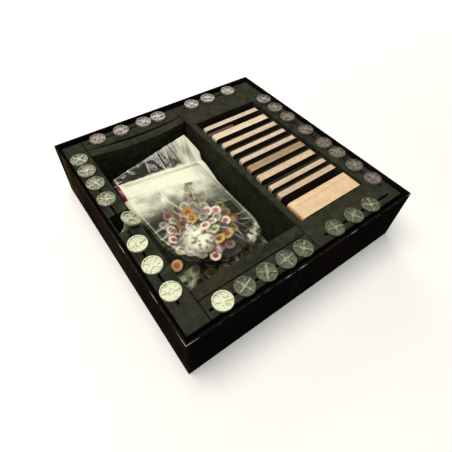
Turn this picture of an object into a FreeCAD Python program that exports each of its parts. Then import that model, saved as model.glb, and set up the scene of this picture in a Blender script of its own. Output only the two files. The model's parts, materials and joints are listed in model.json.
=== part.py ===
import FreeCAD, Part
import math
import os

# Open base of a square board game box with its foam insert, figures, card decks and bags of tokens.
# Millimetres. X runs left to right, Y front to back, Z up. The origin is the middle of the underside.
# The foam is cut to fit what it holds, and the box is made round the foam: 295 x 295 x 73 mm.

# Box: a greyboard tray covered with printed paper
board = 2.0
paper = 0.3
stay_paper = 0.15
stay_reach = 18.0
stay_end_gap = 7.5
turn_in = 20.0

# Foam insert
foam_gap_x = 2.75
foam_gap_y = 4.75
foam_base = 5.0
foam_drop = 3.0
seam = 0.6
left_block_width = 24.0
middle_width = 129.3
front_block_width = 20.5
front_packing_width = 13.0
back_block_left = 18.0
back_block_middle = 23.0
back_block_right = 21.0
back_packing_width = 12.5
back_packing_bow = 3.0
bow_place = 46.0
right_rim_width = 24.5
card_wall = 8.5
card_front_wall = 34.5
card_back_wall = 46.5

# Playing figures: a round base and a turned body, stored head down
base_radius = 10.0
base_height = 3.0
base_wall = 1.3
base_recess = 1.6
rib_width = 1.3
rib_drop = 0.4
hub_radius = 2.4
base_edge = 0.35
collar_radius = 5.4
collar_height = 2.0
neck_radius = 2.6
neck_length = 14.2
ruff_radius = 3.8
ruff_height = 1.4
head_radius = 4.5
head_sink = 0.6

# Figure pockets, and the slit in the foam that joins them
base_wall_gap = 2.75
pocket_play = 0.6
pocket_length = 14.0
pocket_floor_gap = 4.0
slit_width = 2.0
slit_depth = 15.0
slit_reach = 14.0
slit_long_reach = 32.0

# Free spaces along each row of figures: before the first base, between bases and after the last.
# Side rows are counted from the back, front and back rows from the left.
left_spaces = [22.0, 2.5, 4.0, 8.0, 21.5, 9.0, 9.0, 12.5, 31.5]
right_spaces = [43.5, 4.5, 5.5, 14.5, 12.0, 2.5, 7.5, 7.0, 23.0]
front_left_spaces = [7.4, 4.5, 5.5, 4.0, 2.5, 5.4]
front_right_spaces = [18.5, 9.0, 7.0, 35.0]
back_left_spaces = [8.9, 11.5, 12.0, 1.5, 15.4]
back_right_spaces = [17.0, 7.0, 15.5, 30.0]
figure_turn = 37.0

# One figure of the left row has tipped half out of its pocket
tipped_index = 4
tip_angle = 30.0
tip_from_inner_edge = 6.5
tip_pocket_spare = 12.0
tip_clearance = 0.2

# Card decks, from the back of the compartment to its front
card_length = 88.0
card_height = 63.0
card_rise = 0.3
big_card_length = 90.5
big_deck = 24.8
card_play = 6.0
card_end_gap = 2.4
deck_thickness = [7.2, 10.2, 7.6, 6.4, 6.9, 9.3, 9.1, 6.6, 7.1]
deck_gap = [11.1, 10.2, 10.4, 10.8, 8.1, 9.1, 10.9, 7.3, 10.8]
deck_shift = [0.0, 0.0, 0.3, 0.2, 1.2, 1.0, 0.2, 1.0, 1.8]
big_deck_shift = 0.6
card_back_gap = 14.6
card_front_gap = 0.5
divider = 4.5
divider_drop = 4.0
small_card_length = 43.0
small_card_height = 60.0
small_deck = 6.0
small_deck_end_gap = 0.6

# Bags: the lower one is a low cushion, the upper one lies on it and holds the tokens
bag_left_gap = 8.0
bag_right_gap = 5.0
bag_front_gap = 18.0
bag_back_gap = 5.5
bag_rest = 0.05
lower_bag_front_gap = 8.0
lower_bag_height = 18.0
lower_bag_inset = 9.0
bag_lay = 0.3
film = 0.5

# Upper bag: it swells from a front weld over the tokens to its closing panel, then narrows to a flat neck
# with the zip on it and a free flap behind, which stands up towards the right.
# Stations: distance from the front weld, corner inset, height of the crown, and how far the right end lies
# nearer the front than the middle. Across the bag, the film has shares of the width and of the crown.
bag_weld = 1.0
bag_weld_lift = 3.2
bag_weld_inset = 36.0
bag_stations = [
    (7.0, 14.0, 8.0, 0.0),
    (16.0, 4.0, 12.0, 0.0),
    (34.0, 0.0, 14.5, 0.0),
    (66.0, 0.0, 16.5, 0.0),
    (98.0, 0.0, 16.5, 6.0),
    (125.0, 0.0, 16.7, 15.0),
]
bag_shares = [0.08, 0.25, 0.5, 0.75, 0.92]
crown_shares = [0.74, 0.95, 1.0, 0.95, 0.74]
seam_share = 0.35
neck_width = 8.0
neck_lift = 15.5
neck_shift = 9.0
neck_film = 0.8
flap_depth = 30.0
flap_lifts = [15.5, 18.0, 23.0, 32.0, 38.5]
flap_left_lift = 15.0
flap_right_lift = 40.0
zip_width = 5.0
zip_height = 1.6
zip_end_gap = 10.0

# Tokens: round discs with a shallow dish, which lie where they settled in the upper bag
token_thickness = 2.0
dish_depth = 0.3
dish_share = 0.5
token_clearance = 0.2
white_radius = 6.5
yellow_radius = 7.5
red_radius = 7.0
token_order = ["white", "yellow", "white", "red", "white", "white", "yellow", "red", "white", "yellow",
               "white"]

token_count = 50

# The pile of tokens is an oval, turned round token by token; the gaps are from its centres to the bag.
# A token comes to lie at one of the tilts, towards one of the ways, but no flatter than its own least tilt.
pile_left_gap = 17.0
pile_right_gap = 18.0
pile_front_gap = 19.0
pile_back_gap = 70.0
pile_turn = 137.5
tilts = [0.0, 7.0, 14.0, 22.0, 30.0]
tilt_way_count = 8
least_tilts = [0.0, 14.0, 0.0, 22.0, 7.0, 0.0, 14.0]
settle_count = 24
settle_rings = [1.0, 0.5]

# Levels and places that follow from the sizes above
floor_top = paper + board
foam_floor = floor_top + foam_base
foam_top = foam_floor + card_height - card_rise
box_height = foam_top + foam_drop

card_space_width = max(card_length, big_card_length) + card_play
card_space_depth = card_back_gap + sum(deck_thickness) + sum(deck_gap) + big_deck + card_front_gap
right_block_width = card_wall + card_space_width + right_rim_width
foam_half_x = (left_block_width + seam + middle_width + seam + right_block_width) / 2
foam_half_y = (card_front_wall + card_space_depth + card_back_wall) / 2
mouth_half_x = foam_half_x + foam_gap_x
mouth_half_y = foam_half_y + foam_gap_y
inner_half_x = mouth_half_x + paper
inner_half_y = mouth_half_y + paper
board_half_x = inner_half_x + board
board_half_y = inner_half_y + board
box_half_x = board_half_x + stay_paper + paper
box_half_y = board_half_y + stay_paper + paper

left_inner = -foam_half_x + left_block_width
middle_left = left_inner + seam
middle_right = middle_left + middle_width
right_inner = middle_right + seam
card_left = right_inner + card_wall
card_right = card_left + card_space_width
card_front = -foam_half_y + card_front_wall
card_back = card_front + card_space_depth
front_inner = -foam_half_y + front_block_width
packing_front = front_inner + seam
big_front = packing_front + front_packing_width
packing_left_back = foam_half_y - back_block_left - seam
packing_right_back = foam_half_y - back_block_right - seam
bow_back = foam_half_y - back_block_middle - seam - back_packing_bow

left_line = -mouth_half_x + base_wall_gap + base_radius
right_line = mouth_half_x - base_wall_gap - base_radius
front_line = -mouth_half_y + base_wall_gap + base_radius
back_line = mouth_half_y - base_wall_gap - base_radius
head_drop = math.sqrt(head_radius ** 2 - (neck_radius - head_sink) ** 2)
head_middle = -collar_height - neck_length - ruff_height - head_drop
pocket_depth = head_radius - head_middle + pocket_floor_gap
pocket_half = collar_radius + pocket_play

bag_left = left_inner + bag_left_gap
bag_right = right_inner - bag_right_gap
bag_front = big_front + bag_front_gap
lower_bag_front = big_front + lower_bag_front_gap
bag_back = bow_back - back_packing_width - bag_back_gap
neck_back = bag_back - flap_depth
neck_front = neck_back - neck_width
lower_bag_low = foam_floor + bag_rest
lower_bag_top = lower_bag_low + lower_bag_height
bag_low = lower_bag_top + bag_lay
neck_low = bag_low + neck_lift

up = FreeCAD.Vector(0, 0, 1)


def block(x0, x1, y0, y1, z0, z1):
    corner = FreeCAD.Vector(x0, y0, z0)
    return Part.makeBox(x1 - x0, y1 - y0, z1 - z0, corner)


def centred(half_x, half_y, z0, z1):
    return block(-half_x, half_x, -half_y, half_y, z0, z1)


def prism(edges, z0, z1):
    face = Part.Face(Part.Wire(edges))
    solid = face.extrude(FreeCAD.Vector(0, 0, z1 - z0))
    solid.translate(FreeCAD.Vector(0, 0, z0))
    return solid


def save(name, shapes):
    shape = shapes[0] if len(shapes) == 1 else Part.makeCompound(shapes)
    shape.exportStep(os.path.join("parts", name + ".step"))


# Box
def make_bottom_sheet():
    return centred(box_half_x, box_half_y, 0, paper)


def make_board_tray():
    top = box_height - paper
    outside = centred(board_half_x, board_half_y, paper, top)
    return outside.cut(centred(inner_half_x, inner_half_y, floor_top, top))


def make_corner_stays():
    low = stay_end_gap
    high = box_height - stay_end_gap
    reach = block(board_half_x - stay_reach, board_half_x + stay_paper,
                  board_half_y - stay_reach, board_half_y + stay_paper, low, high)
    back_right = reach.cut(centred(board_half_x, board_half_y, low, high))
    back_left = back_right.mirror(FreeCAD.Vector(), FreeCAD.Vector(1, 0, 0))
    stays = [back_right, back_left]
    for stay in (back_right, back_left):
        stays.append(stay.mirror(FreeCAD.Vector(), FreeCAD.Vector(0, 1, 0)))
    return stays


def make_printed_wrap():
    fold = box_height - paper
    skin = centred(box_half_x, box_half_y, paper, box_height)
    skin = skin.cut(centred(box_half_x - paper, box_half_y - paper, paper, fold))
    mouth = centred(mouth_half_x, mouth_half_y, 0, box_height)
    skin = skin.cut(mouth)
    inside = centred(inner_half_x, inner_half_y, box_height - turn_in, fold).cut(mouth)
    return skin.fuse(inside).removeSplitter()


# Figures
def make_figure():
    base_profile = [
        FreeCAD.Vector(0, 0, 0),
        FreeCAD.Vector(base_radius - base_edge, 0, 0),
        FreeCAD.Vector(base_radius, 0, base_edge),
        FreeCAD.Vector(base_radius, 0, base_height - base_edge),
        FreeCAD.Vector(base_radius - base_edge, 0, base_height),
        FreeCAD.Vector(base_radius - base_wall, 0, base_height),
        FreeCAD.Vector(base_radius - base_wall, 0, base_height - base_recess),
        FreeCAD.Vector(0, 0, base_height - base_recess),
        FreeCAD.Vector(0, 0, 0),
    ]
    base = Part.Face(Part.makePolygon(base_profile)).revolve(FreeCAD.Vector(), up, 360)
    rib_low = base_height - base_recess - rib_drop
    rib_high = base_height - rib_drop
    rib_foot = FreeCAD.Vector(0, 0, rib_low)
    inside = Part.makeCylinder(base_radius - base_wall / 2, rib_high - rib_low, rib_foot)
    rib_x = block(-base_radius, base_radius, -rib_width / 2, rib_width / 2, rib_low, rib_high)
    rib_y = block(-rib_width / 2, rib_width / 2, -base_radius, base_radius, rib_low, rib_high)
    hub = Part.makeCylinder(hub_radius, rib_high - rib_low, rib_foot)
    ribs = rib_x.fuse([rib_y]).common(inside).fuse(hub)

    ruff_top = -collar_height - neck_length
    ruff_low = ruff_top - ruff_height
    sunk_radius = neck_radius - head_sink
    crown = FreeCAD.Vector(0, 0, head_middle - head_radius)
    head = Part.Arc(FreeCAD.Vector(sunk_radius, 0, ruff_low),
                    FreeCAD.Vector(head_radius, 0, head_middle), crown)
    turned = [
        FreeCAD.Vector(0, 0, base_edge),
        FreeCAD.Vector(collar_radius, 0, base_edge),
        FreeCAD.Vector(collar_radius, 0, -collar_height),
        FreeCAD.Vector(neck_radius, 0, ruff_top),
        FreeCAD.Vector(ruff_radius, 0, ruff_top),
        FreeCAD.Vector(ruff_radius, 0, ruff_low),
        FreeCAD.Vector(sunk_radius, 0, ruff_low),
    ]
    edges = list(Part.makePolygon(turned).Edges)
    edges.append(head.toShape())
    edges.append(Part.makeLine(crown, turned[0]))
    body = Part.Face(Part.Wire(edges)).revolve(FreeCAD.Vector(), up, 360)
    return base.fuse([ribs, body]).removeSplitter()


# The length that the bases leave free is shared out in proportion to the spaces of the row
def row_places(start, end, spaces):
    count = len(spaces) - 1
    way = 1 if end > start else -1
    share = (abs(end - start) - count * 2 * base_radius) / sum(spaces)
    places = []
    place = start
    for space in spaces[:count]:
        place += way * (space * share + base_radius)
        places.append(place)
        place += way * base_radius
    return places


left_places = row_places(foam_half_y, -foam_half_y, left_spaces)
tip_place = left_places.pop(tipped_index)
right_places = row_places(foam_half_y, -foam_half_y, right_spaces)
front_left_places = row_places(middle_left, middle_right, front_left_spaces)
front_right_places = row_places(right_inner, foam_half_x, front_right_spaces)
back_left_places = row_places(middle_left, middle_right, back_left_spaces)
back_right_places = row_places(right_inner, foam_half_x, back_right_spaces)


def place_figures(name, places, along, line, first_turn):
    placed = []
    for number, place in enumerate(places, 1):
        figure = make_figure()
        figure.rotate(FreeCAD.Vector(), up, first_turn + figure_turn * number)
        spot = (place, line) if along == "x" else (line, place)
        figure.translate(FreeCAD.Vector(spot[0], spot[1], foam_top))
        placed.append(("figure_" + name + "_" + str(number), figure))
    return placed


def tipped_figure():
    figure = make_figure()
    figure.rotate(FreeCAD.Vector(), up, figure_turn)
    figure.rotate(FreeCAD.Vector(), FreeCAD.Vector(0, 1, 0), tip_angle)
    lean = tip_from_inner_edge * math.tan(math.radians(tip_angle))
    height = foam_top + lean + tip_clearance
    figure.translate(FreeCAD.Vector(left_inner - tip_from_inner_edge, tip_place, height))
    return figure


# Foam insert
def pocket(x, y, along):
    half_along = pocket_length / 2
    half_x = half_along if along == "x" else pocket_half
    half_y = pocket_half if along == "x" else half_along
    return block(x - half_x, x + half_x, y - half_y, y + half_y, foam_top - pocket_depth, foam_top)


def pockets(places, along, line, high_reach):
    cuts = []
    for place in places:
        spot = (place, line) if along == "x" else (line, place)
        cuts.append(pocket(spot[0], spot[1], along))
    low = min(places) - slit_reach
    high = max(places) + high_reach
    half = slit_width / 2
    if along == "x":
        cuts.append(block(low, high, line - half, line + half, foam_top - slit_depth, foam_top))
    else:
        cuts.append(block(line - half, line + half, low, high, foam_top - slit_depth, foam_top))
    return cuts


def tipped_pocket():
    turn = math.radians(tip_angle)
    base_x = left_inner - tip_from_inner_edge
    x0 = base_x + head_middle * math.sin(turn) - head_radius - pocket_play
    x1 = base_x + collar_radius * math.cos(turn) + pocket_play
    y0 = tip_place - pocket_half
    y1 = tip_place + pocket_half + tip_pocket_spare
    return block(x0, x1, y0, y1, foam_top - pocket_depth, foam_top)


def make_left_block():
    body = block(-foam_half_x, left_inner, -foam_half_y, foam_half_y, foam_floor, foam_top)
    cuts = pockets(left_places, "y", left_line, slit_reach)
    return body.cut(cuts + [tipped_pocket()])


def make_front_block():
    body = block(middle_left, middle_right, -foam_half_y, front_inner, foam_floor, foam_top)
    return body.cut(pockets(front_left_places, "x", front_line, slit_reach))


def make_front_packing():
    return block(middle_left, middle_right, packing_front, big_front, foam_floor, foam_top)


def make_back_block():
    left_back = FreeCAD.Vector(middle_left, foam_half_y, 0)
    right_back = FreeCAD.Vector(middle_right, foam_half_y, 0)
    left_front = FreeCAD.Vector(middle_left, foam_half_y - back_block_left, 0)
    right_front = FreeCAD.Vector(middle_right, foam_half_y - back_block_right, 0)
    middle = FreeCAD.Vector(middle_left + bow_place, foam_half_y - back_block_middle, 0)
    edges = [
        Part.makeLine(left_back, right_back),
        Part.makeLine(right_back, right_front),
        Part.Arc(right_front, middle, left_front).toShape(),
        Part.makeLine(left_front, left_back),
    ]
    body = prism(edges, foam_floor, foam_top)
    return body.cut(pockets(back_left_places, "x", back_line, slit_reach))


def make_back_packing():
    left_back = FreeCAD.Vector(middle_left, packing_left_back, 0)
    right_back = FreeCAD.Vector(middle_right, packing_right_back, 0)
    middle_back = FreeCAD.Vector(middle_left + bow_place, bow_back, 0)
    thick = FreeCAD.Vector(0, -back_packing_width, 0)
    edges = [
        Part.Arc(left_back, middle_back, right_back).toShape(),
        Part.makeLine(right_back, right_back + thick),
        Part.Arc(right_back + thick, middle_back + thick, left_back + thick).toShape(),
        Part.makeLine(left_back + thick, left_back),
    ]
    return prism(edges, foam_floor, foam_top)


def make_right_block():
    body = block(right_inner, foam_half_x, -foam_half_y, foam_half_y, foam_floor, foam_top)
    cuts = [block(card_left, card_right, card_front, card_back, foam_floor, foam_top)]
    cuts += pockets(right_places, "y", right_line, slit_reach)
    cuts += pockets(front_right_places, "x", front_line, slit_long_reach)
    cuts += pockets(back_right_places, "x", back_line, slit_reach)
    return body.cut(cuts)


# Cards: a small deck stands in the first gap between decks, and a divider in each later gap but the last
def make_decks():
    decks = []
    dividers = []
    back = card_back - card_back_gap
    top = foam_floor + card_height
    for number, thickness in enumerate(deck_thickness, 1):
        gap = deck_gap[number - 1]
        left = card_left + card_end_gap + deck_shift[number - 1]
        front = back - thickness
        decks.append(("card_deck_" + str(number),
                      block(left, left + card_length, front, back, foam_floor, top)))
        middle = front - gap / 2
        if number == 1:
            left = card_left + small_deck_end_gap
            decks.append(("small_card_deck",
                          block(left, left + small_card_length, middle - small_deck / 2,
                                middle + small_deck / 2, foam_floor, foam_floor + small_card_height)))
        elif number < len(deck_thickness):
            dividers.append(block(card_left, card_right, middle - divider / 2, middle + divider / 2,
                                  foam_floor, foam_top - divider_drop))
        back = front - gap
    left = card_left + card_end_gap + big_deck_shift
    decks.append(("big_card_deck",
                  block(left, left + big_card_length, back - big_deck, back, foam_floor, top)))
    return decks, dividers


# Bags
def make_lower_bag():
    levels = [
        (lower_bag_low, lower_bag_inset),
        (lower_bag_low + lower_bag_height / 2, 0.0),
        (lower_bag_top, lower_bag_inset),
    ]
    wires = []
    for level, inset in levels:
        x0 = bag_left + inset
        x1 = bag_right - inset
        y0 = lower_bag_front + inset
        y1 = bag_back - inset
        corners = [(x0, y0), (x1, y0), (x1, y1), (x0, y1), (x0, y0)]
        wires.append(Part.makePolygon([FreeCAD.Vector(x, y, level) for x, y in corners]))
    return Part.makeLoft(wires, True, True)


# A section runs along the film's underside, round the right weld, back over the top and round the left weld
def bag_section(y, inset, shift, under, tops, seams):
    width = bag_right - bag_left
    shares = bag_shares + [1.0] + bag_shares[::-1] + [0.0]
    lifts = under + [seams[1]] + tops[::-1] + [seams[0]]
    points = []
    for share, lift in zip(shares, lifts):
        x = bag_left + inset + (width - 2 * inset) * share
        slant = shift * (1 - 2 * (x - bag_left) / width)
        points.append(FreeCAD.Vector(x, y + slant, bag_low + lift))
    return Part.makePolygon(points + points[:1])


# Two films that lie close together
def flat_section(y, inset, shift, lifts, ends, thickness):
    tops = [lift + thickness for lift in lifts]
    seams = [lift + thickness / 2 for lift in ends]
    return bag_section(y, inset, shift, lifts, tops, seams)


# Two films held apart by what is in the bag, or the space between them
def full_section(y, inset, shift, crown, wall):
    under = [wall for share in crown_shares]
    tops = [crown * share - wall for share in crown_shares]
    seam = crown * seam_share
    return bag_section(y, inset + 2 * wall, shift, under, tops, [seam, seam])


def make_upper_bag():
    weld_lifts = [bag_weld_lift for share in bag_shares]
    neck_lifts = [neck_lift for share in bag_shares]
    outer = [flat_section(bag_front, bag_weld_inset, 0.0, weld_lifts, weld_lifts[:2], bag_weld)]
    inner = []
    for depth, inset, crown, shift in bag_stations:
        outer.append(full_section(bag_front + depth, inset, shift, crown, 0.0))
        inner.append(full_section(bag_front + depth, inset, shift, crown, film))
    for y in (neck_front, neck_back):
        outer.append(flat_section(y, 0.0, neck_shift, neck_lifts, neck_lifts[:2], neck_film))
    flap_ends = [flap_left_lift, flap_right_lift]
    outer.append(flat_section(bag_back, 0.0, 0.0, flap_lifts, flap_ends, neck_film))
    pillow = Part.makeLoft(outer, True, True)
    return pillow.cut(Part.makeLoft(inner, True, True))


def make_zip_strip():
    low = neck_low + neck_film
    half_length = (bag_right - bag_left) / 2 - zip_end_gap
    strip = centred(half_length, zip_width / 2, low, low + zip_height)
    turn = math.degrees(math.atan2(-2 * neck_shift, bag_right - bag_left))
    strip.rotate(FreeCAD.Vector(), up, turn)
    strip.translate(FreeCAD.Vector((bag_left + bag_right) / 2, (neck_front + neck_back) / 2, 0))
    return strip


# Tokens
def token_shape(radius):
    low = -token_thickness / 2
    disc = Part.makeCylinder(radius, token_thickness, FreeCAD.Vector(0, 0, low))
    for level in (low, -low - dish_depth):
        disc = disc.cut(Part.makeCylinder(radius * dish_share, dish_depth, FreeCAD.Vector(0, 0, level)))
    return disc


# Points on the upper or lower face of a token that lies at the origin
def face_points(token, side):
    level = side * token_thickness / 2
    points = []
    for ring in settle_rings:
        for step in range(settle_count):
            angle = 2 * math.pi * step / settle_count
            down = token["radius"] * ring * math.cos(angle)
            across = token["radius"] * ring * math.sin(angle)
            forward = down * math.cos(token["tilt"]) + level * math.sin(token["tilt"])
            x = forward * math.cos(token["way"]) - across * math.sin(token["way"])
            y = forward * math.sin(token["way"]) + across * math.cos(token["way"])
            points.append((x, y, level * math.cos(token["tilt"]) - down * math.sin(token["tilt"])))
    return points


def face_height(token, side, x, y):
    along = (x - token["x"]) * math.cos(token["way"]) + (y - token["y"]) * math.sin(token["way"])
    return side * token_thickness / 2 / math.cos(token["tilt"]) - along * math.tan(token["tilt"])


def covers(token, x, y):
    reach = token["radius"] + token_thickness * math.sin(token["tilt"]) / 2
    return math.hypot(x - token["x"], y - token["y"]) <= reach


# A token comes down until it meets the film under it or a token that settled before it
def rest_height(token, settled):
    lower_points = face_points(token, -1)
    height = max(bag_low + film - z for x, y, z in lower_points)
    for other in settled:
        apart = math.hypot(token["x"] - other["x"], token["y"] - other["y"])
        if apart > token["radius"] + other["radius"] + token_thickness:
            continue
        for x, y, z in lower_points:
            if covers(other, token["x"] + x, token["y"] + y):
                top = other["height"] + face_height(other, 1, token["x"] + x, token["y"] + y)
                height = max(height, top - z)
        for x, y, z in other["upper_points"]:
            if covers(token, other["x"] + x, other["y"] + y):
                bottom = face_height(token, -1, other["x"] + x, other["y"] + y)
                height = max(height, other["height"] + z - bottom)
    return height + token_clearance


# Of the ways that it may lie, a token takes the lowest
def settle(spot, least_tilt, settled):
    lowest = None
    for tilt in tilts:
        if tilt < least_tilt:
            continue
        for number in range(tilt_way_count if tilt > 0 else 1):
            token = dict(spot, tilt=math.radians(tilt), way=2 * math.pi * number / tilt_way_count)
            token["height"] = rest_height(token, settled)
            if lowest is None or token["height"] < lowest["height"]:
                lowest = token
    lowest["upper_points"] = face_points(lowest, 1)
    return lowest


# The tokens fall from the rim of the pile to its middle
def make_tokens():
    radii = {"white": white_radius, "yellow": yellow_radius, "red": red_radius}
    half_x = (bag_right - pile_right_gap - bag_left - pile_left_gap) / 2
    half_y = (bag_back - pile_back_gap - bag_front - pile_front_gap) / 2
    groups = {"white": [], "yellow": [], "red": []}
    settled = []
    for number in reversed(range(token_count)):
        out = math.sqrt((number + 1) / token_count)
        angle = math.radians(pile_turn * number)
        colour = token_order[number % len(token_order)]
        spot = {
            "x": bag_left + pile_left_gap + half_x * (1 + out * math.cos(angle)),
            "y": bag_front + pile_front_gap + half_y * (1 + out * math.sin(angle)),
            "radius": radii[colour],
        }
        token = settle(spot, least_tilts[number % len(least_tilts)], settled)
        settled.append(token)
        axis = FreeCAD.Vector(-math.sin(token["way"]), math.cos(token["way"]), 0)
        shape = token_shape(token["radius"])
        shape.rotate(FreeCAD.Vector(), axis, math.degrees(token["tilt"]))
        shape.translate(FreeCAD.Vector(token["x"], token["y"], token["height"]))
        groups[colour].append(shape)
    return groups


def main():
    os.makedirs("parts", exist_ok=True)
    save("bottom_sheet", [make_bottom_sheet()])
    save("board_tray", [make_board_tray()])
    save("corner_stays", make_corner_stays())
    save("printed_wrap", [make_printed_wrap()])

    save("foam_base_sheet", [centred(foam_half_x, foam_half_y, floor_top, foam_floor)])
    save("foam_left_block", [make_left_block()])
    save("foam_front_block", [make_front_block()])
    save("foam_front_packing", [make_front_packing()])
    save("foam_back_block", [make_back_block()])
    save("foam_back_packing", [make_back_packing()])
    save("foam_right_block", [make_right_block()])

    decks, dividers = make_decks()
    save("card_dividers", dividers)
    for name, deck in decks:
        save(name, [deck])

    figures = place_figures("left", left_places, "y", left_line, 0)
    figures += place_figures("front", front_left_places + front_right_places, "x", front_line, figure_turn)
    figures += place_figures("right", right_places, "y", right_line, 2 * figure_turn)
    figures += place_figures("back", back_left_places + back_right_places, "x", back_line, 3 * figure_turn)
    figures.append(("figure_left_tipped", tipped_figure()))
    for name, figure in figures:
        save(name, [figure])

    save("lower_bag", [make_lower_bag()])
    save("upper_bag", [make_upper_bag()])
    save("zip_strip", [make_zip_strip()])
    for colour, shapes in make_tokens().items():
        save(colour + "_tokens", shapes)


main()
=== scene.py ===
import json
import math
import random
from functools import partial

import bmesh
import bpy
import numpy as np
from mathutils import Matrix, Vector, noise
from mathutils.bvhtree import BVHTree


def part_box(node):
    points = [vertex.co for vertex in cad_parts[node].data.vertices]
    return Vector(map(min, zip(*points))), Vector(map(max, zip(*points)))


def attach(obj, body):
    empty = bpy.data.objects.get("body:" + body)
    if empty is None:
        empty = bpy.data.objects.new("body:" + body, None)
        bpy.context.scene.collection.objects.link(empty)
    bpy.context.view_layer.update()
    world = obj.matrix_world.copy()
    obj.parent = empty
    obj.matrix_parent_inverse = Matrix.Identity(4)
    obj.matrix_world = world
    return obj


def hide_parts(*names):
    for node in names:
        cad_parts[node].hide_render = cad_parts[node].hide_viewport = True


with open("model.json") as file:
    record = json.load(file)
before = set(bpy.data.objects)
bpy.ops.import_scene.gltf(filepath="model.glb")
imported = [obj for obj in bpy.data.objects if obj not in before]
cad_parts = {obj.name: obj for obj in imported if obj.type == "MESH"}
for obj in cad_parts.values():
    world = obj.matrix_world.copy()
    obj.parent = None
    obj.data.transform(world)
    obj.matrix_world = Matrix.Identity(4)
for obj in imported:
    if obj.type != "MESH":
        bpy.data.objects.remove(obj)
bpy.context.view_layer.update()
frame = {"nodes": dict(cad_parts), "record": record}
scene = bpy.context.scene
mm = 0.001


def linear(hexColour):
    channels = [int(hexColour[i:i + 2], 16) / 255 for i in (0, 2, 4)]
    return [c / 12.92 if c <= 0.04045 else ((c + 0.055) / 1.055) ** 2.4 for c in channels] + [1.0]


def inUse(sockets):
    return [socket for socket in sockets if socket.enabled]


# Sets or links a node's inputs. A list fills those in use, and a node means its first output in use.
def feed(node, inputs):
    if isinstance(inputs, dict):
        pairs = [(node.inputs[name], value) for name, value in inputs.items()]
    else:
        pairs = zip(inUse(node.inputs), inputs)
    for socket, value in pairs:
        if isinstance(value, bpy.types.Node):
            value = inUse(value.outputs)[0]
        if isinstance(value, bpy.types.NodeSocket):
            node.id_data.links.new(value, socket)
        else:
            socket.default_value = value


def addNode(tree, kind, inputs=(), operation=None, **settings):
    node = tree.nodes.new("ShaderNode" + kind)
    if operation:
        node.operation = operation
    for name, value in settings.items():
        setattr(node, name, value)
    feed(node, inputs)
    return node


def startMaterial(name, constants):
    material = bpy.data.materials.new(name)
    material.use_nodes = True
    shader = material.node_tree.nodes["Principled BSDF"]
    feed(shader, constants)
    node = partial(addNode, material.node_tree)
    return material, node, shader, node("TexCoord").outputs["Object"]


def setRamp(node, stops):
    ramp = node.color_ramp
    while len(ramp.elements) < len(stops):
        ramp.elements.new(1.0)
    for element, (position, colour) in zip(ramp.elements, stops):
        element.position = position
        element.color = linear(colour)
    return node


# Texture scale for cells of a size in millimetres
def perMetre(size):
    return 1000.0 / size


# Inputs of a noise with cells of a size
def pattern(place, size, detail=2):
    return {"Vector": place, "Scale": perMetre(size), "Detail": detail}


# Inputs of a node that maps a value from one range to another
def span(value, start, end, least=0.0, most=1.0):
    return {"Value": value, "From Min": start, "From Max": end, "To Min": least, "To Max": most}


# Clouds a colour over fine bumps, given by their size, detail, strength and depth
def cloud(node, shader, place, colour, size, clouds, bumpSize, detail, strength, depth):
    flow = node("TexNoise", pattern(place, size, detail=4))
    shade = node("MapRange", span(flow, *clouds))
    rough = node("TexNoise", pattern(place, bumpSize, detail))
    bump = node("Bump", {"Strength": strength, "Distance": depth * mm, "Height": rough})
    feed(shader, {"Base Color": node("VectorMath", [colour, shade], "SCALE"), "Normal": bump})


# Black offset print under matt lamination: hardly any sheen and warm mottling. The left wall is painted
# warmer and paler, as painted light. The pale paper core shows where the corners and the rim are rubbed, and
# along the rim's outer edge it is also a painted highlight. Scuffs are places on the rim: x, y, z and reach.
printLook = dict(
    tones=[(0.3, "0d0d0e"), (0.58, "131110"), (0.78, "1c1612"), (1, "2b211a")],
    core="b0a698", mottle=60, leftWallLight=0.36, warmReach=3.4, grain=0.9,
    paleEdge=0.9, ragged=4, cornerShare=0.4, scuffGain=1.3, wornAndLitLevel=0.95, paleCoreRange=(0.27, 0.62),
    scuffs=[(-147.5, -147.5, 73, 16), (-19.5, -147.5, 73, 7), (-36.8, -147.5, 73, 5),
            (-147.5, -34, 73, 9), (-147.5, -95, 73, 8), (52, -147.5, 73, 6),
            (147.5, -147.5, 73, 9), (-147.5, 147.5, 73, 8), (147.5, 147.5, 73, 9)],
    creaseX=-19.5, creaseWidth=0.5, creaseShare=0.1, creaseDepth=0.2, roughness=(0.48, 0.85),
    tint="6b5031", tintSpot=(-147.5, 125, 36, 46), blotch=20, blotches=(0.42, 0.66, 0, 2.4),
)


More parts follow.
